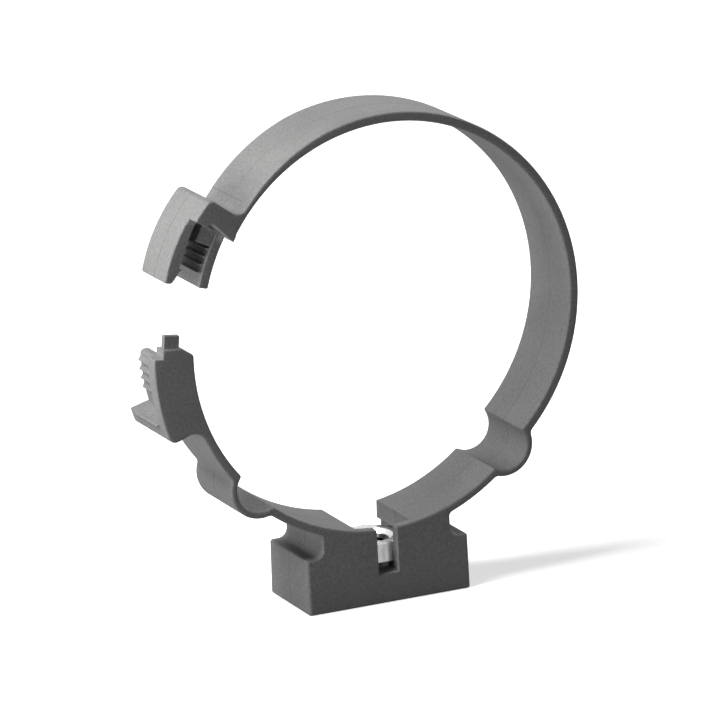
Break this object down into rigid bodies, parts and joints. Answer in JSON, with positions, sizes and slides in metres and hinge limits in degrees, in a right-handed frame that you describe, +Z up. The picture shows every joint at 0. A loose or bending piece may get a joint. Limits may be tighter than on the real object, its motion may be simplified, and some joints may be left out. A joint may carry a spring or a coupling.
{
  "type": "pipe clip",
  "caption": "Open-ring plastic pipe clip with two sprung loop hinges, a toothed snap latch and a captive square nut in its foot, for hanging a pipe on a threaded rod.",
  "frame": {"origin": "centre of the threaded rod's hole at the foot's underside", "axes": "+Z up from the foot through the nut, +Y along the pipe away from the latch's cheek, +X towards the root of the long arm"},
  "size_m": [0.0889, 0.0184, 0.0959],
  "materials": {
    "moulded_plastic": "fine-grained matt grey moulding",
    "zinc_steel": "bright zinc plate"
  },
  "bodies": {
    "base": {"base": "moulded_plastic", "nut": "zinc_steel"},
    "long_arm": {"long_arm": "moulded_plastic"},
    "short_arm": {"short_arm": "moulded_plastic"}
  },
  "joints": [
    {"name": "long_arm_flex", "type": "hinge", "parent": "base", "child": "long_arm", "pos_m": [0.02964, 0, 0.02313], "axis": [0, 1, 0], "range_deg": [-7.5, 60], "stiffness_Nm_per_rad": 0.8},
    {"name": "short_arm_flex", "type": "hinge", "parent": "base", "child": "short_arm", "pos_m": [-0.02964, 0, 0.02313], "axis": [0, -1, 0], "range_deg": [-2, 40], "stiffness_Nm_per_rad": 0.8}
  ]
}
